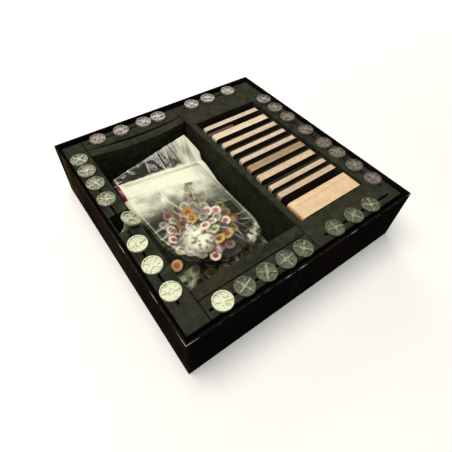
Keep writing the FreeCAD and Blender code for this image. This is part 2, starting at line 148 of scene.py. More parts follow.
def makePrintedPaper():
    look = printLook
    material, node, shader, place = startMaterial("printedPaper", {"IOR": 1.5, "Specular IOR Level": 0.0})
    low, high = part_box("printed_wrap")
    x, y, z = node("SeparateXYZ", [place]).outputs
    mottle = node("TexNoise", pattern(place, look["mottle"], detail=4))
    # Painted light: the left wall is painted warmer and paler than the rest of the wrap, for the light that
    # falls on that side
    litLeftWall = node("MapRange", span(x, low.x + look["warmReach"] * mm, low.x, 0.0, look["leftWallLight"]))
    depth = node("Math", [mottle, litLeftWall], "ADD")
    tone = setRamp(node("ValToRGB", [depth]), look["tones"])

    # How near a point is to a spot, given as x, y, z and reach
    def nearTo(spot):
        centre = [size * mm for size in spot[:3]]
        away = node("VectorMath", [place, centre], "DISTANCE")
        return node("MapRange", span(away, spot[3] * mm, 0.0))

    # Warm blotches of print at the back end of the left wall
    blotch = node("TexNoise", pattern(place, look["blotch"], detail=5))
    tinted = node("MapRange", span(blotch, *look["blotches"]))
    for share in (nearTo(look["tintSpot"]), litLeftWall):
        tinted = node("Math", [tinted, share], "MULTIPLY")
    tone = node("Mix", [tinted, tone, linear(look["tint"])], data_type="RGBA")

    # Rubbed edges: the upright corners, and the outer edge of the rim, where the pale line is partly rubbed
    # wear and partly painted highlight
    absX, absY = [node("Math", [axis], "ABSOLUTE") for axis in (x, y)]
    nearer, further = [node("Math", [absX, absY], pick) for pick in ("MINIMUM", "MAXIMUM")]
    paleEdge = look["paleEdge"] * mm
    corner, rimSide, rimTop = [node("MapRange", span(source, end - paleEdge, end))
                               for source, end in ((nearer, high.x), (further, high.x), (z, high.z))]
    rim = node("Math", [rimSide, rimTop], "MULTIPLY")
    upright = node("Math", [corner, look["cornerShare"]], "MULTIPLY")
    edge = node("Math", [upright, rim], "MAXIMUM")
    spots = nearTo(look["scuffs"][0])
    for spot in look["scuffs"][1:]:
        spots = node("Math", [spots, nearTo(spot)], "MAXIMUM")
    scuff = node("TexNoise", {**pattern(place, look["ragged"], detail=6), "Roughness": 0.75})
    wornAndLit = node("Math", [spots, look["scuffGain"], look["wornAndLitLevel"]], "MULTIPLY_ADD")
    for share in (edge, scuff):
        wornAndLit = node("Math", [wornAndLit, share], "MULTIPLY")
    shown = node("MapRange", span(wornAndLit, *look["paleCoreRange"]))

    # One pressed crease down the front wall
    off = node("Math", [x, look["creaseX"] * mm], "SUBTRACT")
    apart = node("Math", [off], "ABSOLUTE")
    line = node("MapRange", span(apart, look["creaseWidth"] * mm, 0.0, 0.0, look["creaseShare"]))
    front = node("Math", [y, low.y + look["creaseDepth"] * mm], "LESS_THAN")
    crease = node("Math", [line, front], "MULTIPLY")
    pale = node("Math", [shown, crease], "MAXIMUM")
    mix = node("Mix", [pale, tone, linear(look["core"])], data_type="RGBA")
    dull = node("MapRange", span(pale, 0.0, 1.0, *look["roughness"]))
    grain = node("TexNoise", pattern(place, look["grain"]))
    bump = node("Bump", {"Strength": 0.12, "Distance": 0.1 * mm, "Height": grain})
    feed(shader, {"Base Color": mix, "Roughness": dull, "Normal": bump})
    return material


# Closed-cell polyethylene foam, cut by wire: matt olive charcoal with fine open cells, and dark glue lines
# between the sheets that it is laminated from
foamLook = dict(
    tones=[(0.42, "181a13"), (0.65, "292c22"), (0.95, "3c4032")], glue="0b0c09",
    brown="393329", stain=110, stains=(0.42, 0.62, 0, 0.4), cell=1.1, cellShare=0.4,
    streak=9, sheet=10.45, floor=7.3, top=69, line=0.045, glueShare=0.7,
)


def makeFoam():
    look = foamLook
    dull = {"Roughness": 0.9, "Specular IOR Level": 0.06}
    material, node, shader, place = startMaterial("polyethyleneFoam", dull)
    cells = node("TexVoronoi", {"Scale": perMetre(look["cell"]), "Vector": place})
    streaks = node("TexNoise", pattern(place, look["streak"], detail=5))
    blend = node("Math", [cells, look["cellShare"], streaks], "MULTIPLY_ADD")
    tone = setRamp(node("ValToRGB", [blend]), look["tones"])
    stain = node("TexNoise", pattern(place, look["stain"]))
    stained = node("MapRange", span(stain, *look["stains"]))
    tone = node("Mix", [stained, tone, linear(look["brown"])], data_type="RGBA")
    height = node("SeparateXYZ", [place]).outputs["Z"]
    layer = node("Math", [height, perMetre(look["sheet"]), -look["floor"] / look["sheet"]], "MULTIPLY_ADD")
    fromLine = node("Math", [layer, 0.5], "PINGPONG")
    glue = node("Math", [fromLine, look["line"]], "LESS_THAN")
    below = node("Math", [height, look["top"] * mm], "LESS_THAN")
    for share in (below, look["glueShare"]):
        glue = node("Math", [glue, share], "MULTIPLY")
    mix = node("Mix", [glue, tone, linear(look["glue"])], data_type="RGBA")
    bump = node("Bump", {"Strength": 0.4, "Distance": 0.3 * mm, "Height": cells})
    feed(shader, {"Base Color": mix, "Normal": bump})
    return material


# Coated card stock: each face takes its colour from the piece, clouded a little along the card
cardCoat = dict(clouds=(0.3, 0.7), palest=1.03, linen=(0.8, 2, 0.12, 0.05))


def makeCardStock(name, roughness, grain, darkest):
    material, node, shader, place = startMaterial(name, {"Roughness": roughness, "IOR": 1.5})
    printed = node("Attribute", attribute_name="printColour")
    clouds = (*cardCoat["clouds"], darkest, cardCoat["palest"])
    cloud(node, shader, place, printed, grain, clouds, *cardCoat["linen"])
    return material


# Injection-moulded polystyrene: a soft gloss. The rim and ribs are painted paler than the thin web between
# them, partly because the thick plastic scatters more light and partly as painted highlight on the raised
# parts, and the clouds run brighter than the plastic in places as painted highlights. Tones of web, ribs and
# rim, at these heights, then roughness and clouds.
figureLook = dict(heights=[71.5, 72.4, 72.9], cloud=3, scratches=(1.2, 4, 0.18, 0.1))
figureKinds = {
    "ivory": ("dde2bf e8edd0 e2e7c8", 0.4, (0.3, 0.5, 0.42, 1.02)),
    # These four kinds, one for each row, are copies of one clear plastic in painted light and shade
    "clear": ("62654f aeb197 63664f", 0.3, (0.36, 0.62, 0.5, 1.35)),
    "pale": ("8d8e7a cdceb8 8f907c", 0.3, (0.36, 0.6, 0.5, 1.45)),
    "rightRowShade": ("787064 a49c8d 61594e", 0.3, (0.36, 0.62, 0.5, 1.35)),
    "backRowLight": ("938982 c4bab2 746b65", 0.3, (0.36, 0.6, 0.5, 1.4)),
    "tipped": ("a8a88a b4b496 bebea0", 0.4, (0.36, 0.62, 0.7, 1.15)),
}


def makeFigurePlastic(kind):
    tones, roughness, clouds = figureKinds[kind]
    material, node, shader, place = startMaterial(kind + "Polystyrene", {"Roughness": roughness, "IOR": 1.59})
    heights = figureLook["heights"]
    low, high = heights[0], heights[-1]
    z = node("SeparateXYZ", [place]).outputs["Z"]
    height = node("MapRange", span(z, low * mm, high * mm))
    stops = [((level - low) / (high - low), colour) for level, colour in zip(heights, tones.split())]
    tone = setRamp(node("ValToRGB", [height]), stops)
    cloud(node, shader, place, tone, figureLook["cloud"], clouds, *figureLook["scratches"])
    return material


# Blown polythene film: clear with a wet gloss where it lies flat, milky where it is creased, welded or
# printed white. Some of the white is painted light: glints along the creases, and glare and reflection on the
# upper bag. The piece says where: crease, weld, white and sheen are numbers on its points.
filmLook = dict(
    tones=[(0.35, "e8efca"), (0.6, "f8fce2")], panelTone="fcfee4", tint="f7f8f0", cloud=14,
    clear=0.02, cover=dict(crease=0.75, weld=0.7, panel=0.9), ripple=9, rippleHeight=0.5,
    gloss=0.045, glance=0.5, glanceFall=4, glossRoughness=0.18,
)


def makeFilm():
    look = filmLook
    material, node, shader, place = startMaterial("polytheneFilm", {"Roughness": 0.45, "IOR": 1.5})
    marks = {name: node("Attribute", attribute_name=name).outputs["Fac"]
             for name in ("crease", "weld", "panel", "sheen")}
    flow = node("TexNoise", pattern(place, look["cloud"]))
    tone = setRamp(node("ValToRGB", [flow]), look["tones"])
    white = node("Mix", [marks["panel"], tone, linear(look["panelTone"])], data_type="RGBA")
    wrinkle = node("TexNoise", pattern(place, look["ripple"], detail=3))
    bump = node("Bump", {"Strength": 0.2, "Distance": look["rippleHeight"] * mm, "Height": wrinkle})
    feed(shader, {"Base Color": white, "Normal": bump})

    facing = node("LayerWeight", {"Blend": 0.5, "Normal": bump}).outputs["Facing"]
    steep = node("Math", [facing, look["glanceFall"]], "POWER")
    mirror = node("Math", [steep, look["glance"], look["gloss"]], "MULTIPLY_ADD")
    gloss = node("Math", [mirror, marks["sheen"]], "MULTIPLY")
    through = node("BsdfTransparent", {"Color": linear(look["tint"])})
    wet = node("BsdfGlossy", {"Roughness": look["glossRoughness"], "Normal": bump})
    clear = node("MixShader", [gloss, through, wet])
    cover = node("Math", [marks["sheen"], look["clear"]], "MULTIPLY")
    for name, share in look["cover"].items():
        cover = node("Math", [marks[name], share, cover], "MULTIPLY_ADD", use_clamp=True)
    surface = node("MixShader", [cover, clear, shader])
    feed(material.node_tree.nodes["Material Output"], {"Surface": surface})
    return material


# Die-cut greyboard and kraft paper are dull and flecked with fibres. Dyed polythene, for the crimson end of
# the bag's closing band, is cloudy with a waxy sheen. Size and tones of the flecks.
fleckLook = dict(
    greyboard=(1.5, [(0.3, "5d564b"), (0.55, "756c5f"), (0.75, "8a8072")]),
    kraftPaper=(1.5, [(0.3, "6b5a44"), (0.55, "8a7558"), (0.75, "9d8868")]),
    crimsonFilm=(6, [(0.35, "5c0f20"), (0.7, "9c2340")]),
)


def makeFlecked(name, constants, detail):
    size, tones = fleckLook[name]
    material, node, shader, place = startMaterial(name, constants)
    fleck = node("TexNoise", pattern(place, size, detail))
    feed(shader, {"Base Color": setRamp(node("ValToRGB", [fleck]), tones)})
    return material


printedPaper = makePrintedPaper()
dullBoard = {"Roughness": 0.9, "Specular IOR Level": 0.2}
greyboard, stayPaper = [makeFlecked(name, dullBoard, detail=6) for name in ("greyboard", "kraftPaper")]
foam = makeFoam()
cardStock = makeCardStock("coatedCard", roughness=0.6, grain=8, darkest=0.87)
tokenBoard = makeCardStock("printedTokenBoard", roughness=0.38, grain=4, darkest=0.86)
plastics = {kind: makeFigurePlastic(kind) for kind in figureKinds}
film = makeFilm()
crimsonFilm = makeFlecked("crimsonFilm", {"Roughness": 0.3, "IOR": 1.5}, detail=3)
print("materials ready:", len(bpy.data.materials))


def addObject(name, mesh, materials):
    data = bpy.data.meshes.new(name)
    mesh.to_mesh(data)
    mesh.free()
    for material in materials:
        data.materials.append(material)
    made = bpy.data.objects.new(name, data)
    scene.collection.objects.link(made)
    return made


# A finished mesh as a piece of the object: it rides on a body and stands for CAD nodes
def addPiece(name, mesh, materials, body, nodes=()):
    piece = addObject(name, mesh, materials)
    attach(piece, body)
    if nodes:
        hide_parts(*nodes)
    return piece


# Flat faces keep their own normals beside rounded edges
def holdFlat(piece):
    piece.modifiers.new("holdFlat", "WEIGHTED_NORMAL")


def dress(node, material):
    data = frame["nodes"][node].data
    data.materials.clear()
    data.materials.append(material)


# How near points are one, and from how many degrees faces differ or meet sharply
limits = dict(near=0.002, flat=0.3, sharp=30)


# A copy of a CAD node with its triangles merged and its flat faces made whole
def copyNode(node):
    mesh = bmesh.new()
    mesh.from_mesh(frame["nodes"][node].data)
    bmesh.ops.remove_doubles(mesh, verts=mesh.verts, dist=limits["near"] * mm)
    flat = math.radians(limits["flat"])
    bmesh.ops.dissolve_limit(mesh, angle_limit=flat, verts=mesh.verts, edges=mesh.edges)
    return mesh


def sharpEdges(mesh):
    return [edge for edge in mesh.edges
            if len(edge.link_faces) == 2 and edge.calc_face_angle() > math.radians(limits["sharp"])]


def roundEdges(mesh, edges, radius, steps, clamp=False):
    return bmesh.ops.bevel(mesh, geom=edges, offset=radius * mm, offset_type="OFFSET", segments=steps,
                           profile=0.5, affect="EDGES", material=-1, clamp_overlap=clamp)["faces"]


# A mesh whose faces have a printed colour each
def startPrinted():
    mesh = bmesh.new()
    return mesh, mesh.faces.layers.float_color.new("printColour")


# A place, with an axis turned to point a certain way
def turnedTo(way, place, axis="Z"):
    return Matrix.Translation(place) @ way.to_track_quat(axis, "Y").to_matrix().to_4x4()


bodyOf = {node: body for body, nodes in frame["record"]["behaviour"]["bodies"].items() for node in nodes}

# Box: the board and the papers keep their CAD shapes, and the wrap gets rounded folds
wrapFold = dict(radius=0.6, steps=3, near=0.01)


def onOutside(edge, low, high):
    middle = (edge.verts[0].co + edge.verts[1].co) / 2
    near = wrapFold["near"] * mm
    sides = sum(min(abs(middle[axis] - low[axis]), abs(middle[axis] - high[axis])) < near for axis in (0, 1))
    return sides == 2 or (sides == 1 and abs(middle.z - high.z) < near)


def makeWrap():
    mesh = copyNode("printed_wrap")
    low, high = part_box("printed_wrap")
    folds = [edge for edge in sharpEdges(mesh) if onOutside(edge, low, high)]
    for face in roundEdges(mesh, folds, wrapFold["radius"], wrapFold["steps"]):
        face.smooth = True
    piece = addPiece("printed_wrap_folded", mesh, [printedPaper], "box", ["printed_wrap"])
    holdFlat(piece)


makeWrap()
dress("board_tray", greyboard)
dress("corner_stays", stayPaper)
dress("bottom_sheet", printedPaper)
print("box dressed")

# Foam: edges soft from the cut, faces a little uneven
foamCut = dict(edge=0.8, steps=2, grid=9, near=0.001, sink=0.35, swell=26)


def makeFoamPiece(node):
    mesh = copyNode(node)
    roundEdges(mesh, sharpEdges(mesh), foamCut["edge"], foamCut["steps"], True)
    low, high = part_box(node)
    step = foamCut["grid"] * mm
    for axis in range(3):
        across = Matrix.Identity(3)[axis]
        for number in range(math.ceil(low[axis] / step), math.ceil(high[axis] / step)):
            everything = mesh.verts[:] + mesh.edges[:] + mesh.faces[:]
            bmesh.ops.bisect_plane(mesh, geom=everything, dist=foamCut["near"] * mm,
                                   plane_co=across * number * step, plane_no=across)
    mesh.normal_update()
    for vert in mesh.verts:
        uneven = 0.5 + 0.5 * noise.noise(vert.co / (foamCut["swell"] * mm))
        vert.co -= vert.normal * foamCut["sink"] * mm * uneven
    for face in mesh.faces:
        face.smooth = True
    piece = addPiece(node + "_cut", mesh, [foam], bodyOf[node], [node])
    holdFlat(piece)


foamNodes = [node for node in sorted(frame["nodes"]) if node.startswith("foam_")] + ["card_dividers"]
for node in foamNodes:
    makeFoamPiece(node)
print("foam cut:", len(foamNodes), "pieces")

# Cards: every card of a deck stands by itself, with rounded corners. A deck has the colours of its cut
# edges, darker to paler, and of the printed backs that face out of it.
card = dict(
    thickness=0.31, cover=0.94, corner=3, steps=4, shift=0.45, lift=0.3, liftFall=3,
    facing=0.9, margin=2.6, backLift=1.5, seed=11,
)
deckColours = {"card_deck_%d" % (place + 1): colours for place, colours in enumerate([
    "dac6ae ecd9c0 362a20", "f0dab8 fdebcc 2a2019", "dac4a4 ecd6b6 3e2c20",
    "ddc9aa efdcbd 33281f", "d8c2a6 ead5b9 3a2a21", "a98e6a bfa27c 402d20",
    "dcc39e eed6b1 32271e", "d3bb9f e6cdb0 382a20", "d3b997 e6cba9 3e2c20"])}
deckColours["big_card_deck"] = "eccda4 f5d8ae 42321f"
deckColours["small_card_deck"] = "57433d 6e564e 33281f"


def addCard(mesh, colours, centre, size, edgeColour):
    before = set(mesh.faces)
    matrix = Matrix.Translation(centre) @ Matrix.Diagonal(size).to_4x4()
    cube = bmesh.ops.create_cube(mesh, size=1.0, matrix=matrix)["verts"]
    through = {edge for vert in cube for edge in vert.link_edges
               if abs(edge.verts[0].co.y - edge.verts[1].co.y) > size.y / 2}
    inOrder = sorted(through, key=lambda edge: edge.verts[0].co.x + edge.verts[0].co.z * 2)
    roundEdges(mesh, inOrder, card["corner"], card["steps"])
    made = [face for face in mesh.faces if face not in before]
    for face in made:
        face[colours] = edgeColour
    return made


def printBack(mesh, colours, faces, side, backColour):
    broad = [face for face in faces if face.normal.y * side > card["facing"]]
    for face in broad:
        face[colours] = backColour
    bmesh.ops.inset_individual(mesh, faces=broad, thickness=card["margin"] * mm, use_even_offset=True)
    for face in broad:
        face[colours] = [channel * card["backLift"] for channel in backColour[:3]] + [1.0]


def makeDeck(node):
    dark, pale, back = [linear(colour) for colour in deckColours[node].split()]
    low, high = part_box(node)
    middle = (low + high) / 2
    draw = random.Random(node + str(card["seed"]))
    count = round((high.y - low.y) / (card["thickness"] * mm))
    pitch = (high.y - low.y) / count
    size = Vector((high.x - low.x, pitch * card["cover"], high.z - low.z))
    mesh, colours = startPrinted()
    for number in range(count):
        share = draw.random()
        edgeColour = [d + (p - d) * share for d, p in zip(dark, pale)]
        shift = draw.uniform(-1.0, 1.0) * card["shift"] * mm
        lift = draw.random() ** card["liftFall"] * card["lift"] * mm
        centre = Vector((middle.x + shift, low.y + pitch * (number + 0.5), middle.z + lift))
        faces = addCard(mesh, colours, centre, size, edgeColour)
        mesh.normal_update()
        if number in (0, count - 1):
            printBack(mesh, colours, faces, 1 if number else -1, back)
    addPiece(node + "_cards", mesh, [cardStock], bodyOf[node], [node])


for node in deckColours:
    makeDeck(node)
print("cards dealt:", len(deckColours), "decks")

# Figures keep their CAD shapes. Most are clear, in a copy for each row that is toned as painted light and
# shade for how that row is lit.
rowLitCopies = {"left": "pale", "front": "clear", "right": "rightRowShade", "back": "backRowLight"}
ivoryFigures = ["figure_left_5", "figure_left_6", "figure_left_7", "figure_front_1"]
for node in frame["nodes"]:
    if node.startswith("figure_"):
        dress(node, plastics["ivory" if node in ivoryFigures else rowLitCopies[node.split("_")[1]]])
dress("figure_left_tipped", plastics["tipped"])
print("figures dressed")

# Tokens: punched from printed board, each with a coloured border, ring and dished middle
disc = dict(
    segments=28, edge=0.25, steps=2, border=0.9, dishShare=0.52, dishWall=0.25, dish=0.3, cut="a8927a",
    upward=0.6, seed=5, shadeFrom=-24, shadeReach=36, deepestShade=0.68, shadeFall=2,
)
# Border, ring and middle of each print, from bright to dark; the darker prints are shaded copies, painted
# shade. Tokens further back take darker ones.
tokenPrints = {
    "white": ["f4f0e6 f6f2ea c9345c", "f4f0e6 efe9df d0507a", "ece6d8 f1ecdf b02a55",
              "c6a99b d2b6a9 92465a", "c4bda4 cfc8ae 85755e", "a08b7c ad998a 6a5648",
              "8d6862 9b766f 6a2b42"],
    "yellow": ["d8a038 e6b95c 8e3f1c", "dcae50 c08636 6d2f1a", "c98a2c d9a441 a5502a",
               "86703a 947e46 57421f", "7d5a34 8c683f 5a2a20"],
    "red": ["7a4a2c 8d5a36 b5362f", "6f2830 8a333a c9803a", "54263f 6d3050 a04668",
            "37332c 48443b 221f1b"],
}


def findTokens(node):
    mesh = copyNode(node)
    seen = set()
    found = []
    for start in mesh.verts:
        if start in seen:
            continue
        group = [start]
        seen.add(start)
        for vert in group:
            for edge in vert.link_edges:
                other = edge.other_vert(vert)
                if other not in seen:
                    seen.add(other)
                    group.append(other)
        centre = sum((vert.co for vert in group), Vector()) / len(group)
        up = Vector()
        for face in {face for vert in group for face in vert.link_faces}:
            if face.normal.z > disc["upward"]:
                up += face.normal * face.calc_area()
        up.normalize()
        reach = max((vert.co - centre).cross(up).length for vert in group)
        half = max(abs((vert.co - centre).dot(up)) for vert in group)
        found.append({"centre": centre, "up": up, "radius": reach, "half": half})
    mesh.free()
    return found


def addToken(mesh, colours, token, prints):
    border, ring, middle = [linear(colour) for colour in prints.split()]
    verts = set(mesh.verts)
    faces = set(mesh.faces)
    radius, half = token["radius"], token["half"]
    rim = bmesh.ops.create_cone(mesh, cap_ends=True, cap_tris=False, segments=disc["segments"],
                                radius1=radius, radius2=radius, depth=half * 2)["verts"]
    around = {edge for vert in rim for edge in vert.link_edges
              if abs(edge.verts[0].co.z - edge.verts[1].co.z) < half}
    inOrder = sorted(around, key=lambda edge: edge.index)
    roundEdges(mesh, inOrder, disc["edge"], disc["steps"])
    made = [face for face in mesh.faces if face not in faces]
    for face in made:
        face[colours] = linear(disc["cut"])
        face.smooth = True
    caps = [face for face in made if len(face.verts) == disc["segments"]]
    borderWidth = disc["border"] * mm
    ringWidth = radius * (1 - disc["dishShare"]) - borderWidth
    for colour, width, depth in ((border, borderWidth, 0.0), (ring, ringWidth, 0.0),
                                 (middle, disc["dishWall"] * mm, -disc["dish"] * mm)):
        for face in bmesh.ops.inset_individual(mesh, faces=caps, thickness=width, depth=depth,
                                               use_even_offset=True)["faces"]:
            face[colours] = colour
    for face in caps:
        face[colours] = middle
        face.smooth = False
    bmesh.ops.transform(mesh, matrix=turnedTo(token["up"], token["centre"]),
                        verts=[vert for vert in mesh.verts if vert not in verts])


def makeTokens(name, tokens, prints, body, nodes):
    draw = random.Random(disc["seed"])
    mesh, colours = startPrinted()
    for token in tokens:
        # Painted shade: the further back a token lies, the darker the print it gets
        back = (token["centre"].y / mm - disc["shadeFrom"]) / disc["shadeReach"]
        dull = min(max(back, 0.0), disc["deepestShade"])
        share = dull + (1 - dull) * draw.random() ** disc["shadeFall"]
        addToken(mesh, colours, token, prints[int(share * len(prints))])
    mesh.normal_update()
    holdFlat(addPiece(name, mesh, [tokenBoard], body, nodes))


bagTokens = []
for colour, prints in tokenPrints.items():
    node = colour + "_tokens"
    tokens = findTokens(node)
    bagTokens += tokens
    makeTokens(node + "_printed", tokens, prints, "upper_bag", [node])
print("tokens printed:", len(bagTokens))

# Film of the bags: a sheet with straight creases. Rows and columns of points lie on the CAD bag's form, and
# the film sags a little from it between the tokens. Sizes are in millimetres.
sheet = dict(
    margin=0.4, step=0.5, gap=0.35, overlap=0.6, sag=1.8, sagReach=5, sagStart=0.2,
    smoothing=5, creaseWidth=3.6, markWidth=0.75, whitenessAndGlint=(0.15, 0.75), apart=0.12,
    weld=3, weldLevel=0.2, weldEdge=0.9, sideFall=3, wanderSpacing=30, upper=(200, -1), lower=(-50, 1),
)
farAway = 1000.0


# Shares held between nothing and one
def unit(value):
    return np.clip(value, 0.0, 1.0)


def ease(value):
    value = unit(value)
    return value * value * (3 - 2 * value)


def ridge(off, width, power=2):
    return np.exp(-(off / width) ** power)


def mottled(rough, level, share, least):
    return np.clip(level + share * rough, least, 1.0)


# How near points of the plan are to a spot
def nearSpot(x, y, spotX, spotY, reach, steepness=1.0):
    return ease(steepness * (1 - np.hypot(x - spotX, y - spotY) / reach))


def solidOf(node):
    mesh = copyNode(node)
    solid = BVHTree.FromBMesh(mesh)
    mesh.free()
    return solid


# Heights of a solid's upper or lower side over the plan, by rays that start at a height and go up or down
def sideHeights(solid, x, y, side):
    start, way = sheet[side]
    heights = np.full(x.shape, np.nan)
    for index in np.ndindex(x.shape):
        hit = solid.ray_cast(Vector((x[index], y[index], start)) * mm, Vector((0.0, 0.0, way)))[0]
        if hit is not None:
            heights[index] = hit.z / mm
    return heights


# Where a line across the plan enters and leaves the solid
def spanOf(solid, y, left, right):
    x = np.arange(left, right, sheet["step"])
    inside = x[~np.isnan(sideHeights(solid, x, np.full(x.shape, y), "upper"))]
    return inside[0] + sheet["margin"], inside[-1] - sheet["margin"]


# Uneven ground over the plan, of soft waves unless another measure is given
def ripple(x, y, spacing, seed, measure=noise.noise):
    height = np.zeros(x.shape)
    for index in np.ndindex(x.shape):
        height[index] = measure(Vector((x[index] / spacing, y[index] / spacing, seed)))
    return height


# Crumpled film breaks into flat facets: the gap between the nearest two of scattered points has such folds
def facet(point):
    near = noise.voronoi(point)[0]
    return near[1] - near[0]


def crumple(across, along, bag):
    return sum(depth * (ripple(across, along, spacing, bag["seed"] + spacing, facet) - bag["foldLevel"])
               for spacing, depth in bag["folds"])


def relax(height, least):
    for _ in range(sheet["smoothing"]):
        inner = (height[:-2, 1:-1] + height[2:, 1:-1] + height[1:-1, :-2] + height[1:-1, 2:]) / 4
        height[1:-1, 1:-1] = np.maximum(inner, least[1:-1, 1:-1])
    return height


# The lowest that film may lie over tokens
def tokenTops(x, y, tokens):
    least = np.full(x.shape, -farAway)
    for token in tokens:
        centre = token["centre"] / mm
        up = token["up"]
        away = np.hypot(x - centre.x, y - centre.y)
        plane = centre.z + (token["half"] / mm - (x - centre.x) * up.x - (y - centre.y) * up.y) / up.z
        least = np.where(away <= token["radius"] / mm + sheet["overlap"],
                         np.maximum(least, plane + sheet["gap"]), least)
    return least


# Straight creases on the flat sheet. Zones say how many, where across and along it, which way, with what
# spread, how long and how high. A pair as the way is a centre that creases run out from.
def drawCreases(zones, seed):
    draw = random.Random(seed)
    creases = []
    for count, acrossZone, alongZone, way, spread, lengths, heights in zones:
        for _ in range(count):
            across = draw.uniform(*acrossZone)
            along = draw.uniform(*alongZone)
            heading = way
            if isinstance(way, tuple):
                heading = math.degrees(math.atan2(along - way[1], across - way[0]))
            heading += draw.uniform(-1.0, 1.0) * spread
            height = draw.uniform(*heights) * draw.choice((-1, 1))
            creases.append((across, along, math.radians(heading), draw.uniform(*lengths), height,
                            draw.uniform(*sheet["whitenessAndGlint"])))
    return creases


def pressCreases(across, along, creases):
    lift = np.zeros(across.shape)
    mark = np.zeros(across.shape)
    for middleAcross, middleAlong, heading, length, height, whitenessAndGlint in creases:
        on = (across - middleAcross) * math.cos(heading) + (along - middleAlong) * math.sin(heading)
        off = (along - middleAlong) * math.cos(heading) - (across - middleAcross) * math.sin(heading)
        taper = unit(1 - (2 * on / length) ** 2)
        lift += height * taper * unit(1 - np.abs(off) / sheet["creaseWidth"])
        # The milky line along each crease is partly stress whitening and partly painted glint
        mark = np.maximum(mark, whitenessAndGlint * taper * ridge(off, sheet["markWidth"]))
    return lift, mark


# Shares across a bag that are full at its sides and nothing in its middle
def atSides(across):
    return np.abs(2 * across - 1) ** sheet["sideFall"]


def wander(along, across, bag):
    return ripple(along, along * 0, sheet["wanderSpacing"], bag["seed"]) * bag["wander"] * atSides(across)


# The under film meets the upper one all round its border
def closeBorder(under, upper):
    closed = upper.copy()
    closed[1:-1, 1:-1] = under[1:-1, 1:-1]
    return closed


# A weld is milky over its width and most of all at the cut edge
def weldMarks(fromEdge, cutLevel):
    weld = sheet["weldLevel"] * (1 - ease((fromEdge - sheet["weld"])))
    return weld + cutLevel * (1 - ease(fromEdge / sheet["weldEdge"]))


# Two films of the same grid, joined all round their border. The under film has a share of the marks.
def closedFilm(top, bottom, marks, underShare, dyed=None):
    rows, columns = top[0].shape
    mesh = bmesh.new()
    layers = {name: mesh.verts.layers.float.new(name) for name in marks}
    for form, under in ((top, False), (bottom, True)):
        made = bmesh.ops.create_grid(mesh, x_segments=columns - 1, y_segments=rows - 1, size=0.5)["verts"]
        for vert in made:
            column = round((vert.co.x + 0.5) * (columns - 1))
            row = round((vert.co.y + 0.5) * (rows - 1))
            vert.co = Vector([float(values[row, column]) * mm for values in form])
            for name, layer in layers.items():
                vert[layer] = float(marks[name][row, column]) * (underShare if under else 1.0)
            vert.index = row * columns + column
        faces = list({face for vert in made for face in vert.link_faces})
        for face in faces:
            face.smooth = True
            if dyed is not None and not under:
                face.material_index = int(all(dyed[divmod(vert.index, columns)] for vert in face.verts))
        if under:
            bmesh.ops.reverse_faces(mesh, faces=faces)
    bmesh.ops.remove_doubles(mesh, verts=mesh.verts, dist=limits["near"] * mm)
    return mesh


# Upper bag. Lines across it: y in the middle, how far its left end lies further back, and rows up to it.
# The last span is the closing band. Behind it stands the flap: share of the width, length and lift.
# Ripples have spacing and seed, patches level, share of the ripple and least.
upperBag = dict(
    columns=148, seed=3.7, sideInset=1, shoulder=8, wander=1.4,
    lines=[(-87.6, 0, 0), (-53.9, 0, 38), (-21.9, 0, 34), (10.1, 6, 34), (37.1, 15, 28), (65.5, 9, 34)],
    flap=[(0, 11, 3), (0.45, 27, 14), (0.8, 36, 28), (0.92, 38, 42), (1, 11, 52)],
    flapRows=38, flapRoot=0.3, flapGap=0.35, underLift=0.1, pillowLeast=0.2,
    folds=[(30, 1.5), (14, 0.45)], foldLevel=0.4, foldShare=0.6,
    bandRows=4, bandBlend=6, bandCalm=0.55, dyed=5.2, underShare=0.25,
    # Welds: a corner by x, y and reach, the strip up the right side and its folded stretch
    cutLevel=0.8, cornerWeld=(4, -62, 24), cornerGain=1.6,
    rightStrip=[(5, 0.1), (12, 2.5), (75, 8)], stripBlend=1.6, stripLevel=0.9,
    foldedStrip=(-66, 0, 4), foldedLevel=0.35, foldedLine=(0.95, 0.7),
    # Haze in front of the band, partly milky film and partly painted reflection: share of the width, reach
    # and level. Milky spots: x, y, reach and level; the first is painted glare on the film over the tokens.
    haze=[(0, 38, 0.9), (0.4, 36, 0.88), (0.6, 36, 0.75), (0.78, 56, 0.62), (1, 58, 0.6)],
    hazeEdge=1.4, hazeFade=7, mottle=(13, 7.7), patches=(0.8, 0.9, 0.35), patchFade=6,
    milkyAndGlare=[(-67, -44, 22, 0.85), (2, -64, 8, 0.6), (-7, -69, 8, 0.6), (-15, -73, 7, 0.5)],
    milkyEdge=1.5, shards=(4.5, 11.7), shardPatches=(1.7, 0.1),
    window=[(-28, 36), (-46.5, 11)], windowWidth=4.8, windowEdge=4, windowDepth=0.9,
    ragged=(2.5, 6), rags=(9, 9.7), lobe=(0.7, 0.16, 0.75), lobePatches=(0.65, 0.9, 0.2),
    shadeEnd=0.72, shadeFrom=0.76, shadeBlend=0.2, panelMottle=0.1, creaseOnPanel=0.45,
    # The fold round the tokens, as y and x, and its line: level, width and how far right it goes
    leftFold=[(-82, -45), (-72, -61), (-56, -86), (-40, -94), (-20, -100), (42, -104)],
    rightFold=[(-82, -45), (-76, -21), (-62, 10)], clearEdge=0.05, clearBlend=3,
    foldLine=(0.5, 0.7, -70),
    creases=[
        (22, (8, 110), (8, 118), (58, 66), 22, (18, 46), (0.2, 0.6)),
        (10, (12, 105), (20, 110), 0, 90, (8, 22), (0.15, 0.4)),
        (10, (2, 16), (20, 125), 0, 24, (9, 24), (0.3, 0.8)),
        (10, (100, 115), (25, 120), 0, 24, (9, 22), (0.3, 0.8)),
        (12, (4, 114), (112, 132), 90, 26, (12, 30), (0.3, 0.8)),
        (6, (10, 108), (128, 150), 90, 30, (8, 20), (0.2, 0.5)),
        (16, (3, 115), (158, 190), 90, 24, (18, 44), (0.3, 0.9)),
    ],
)


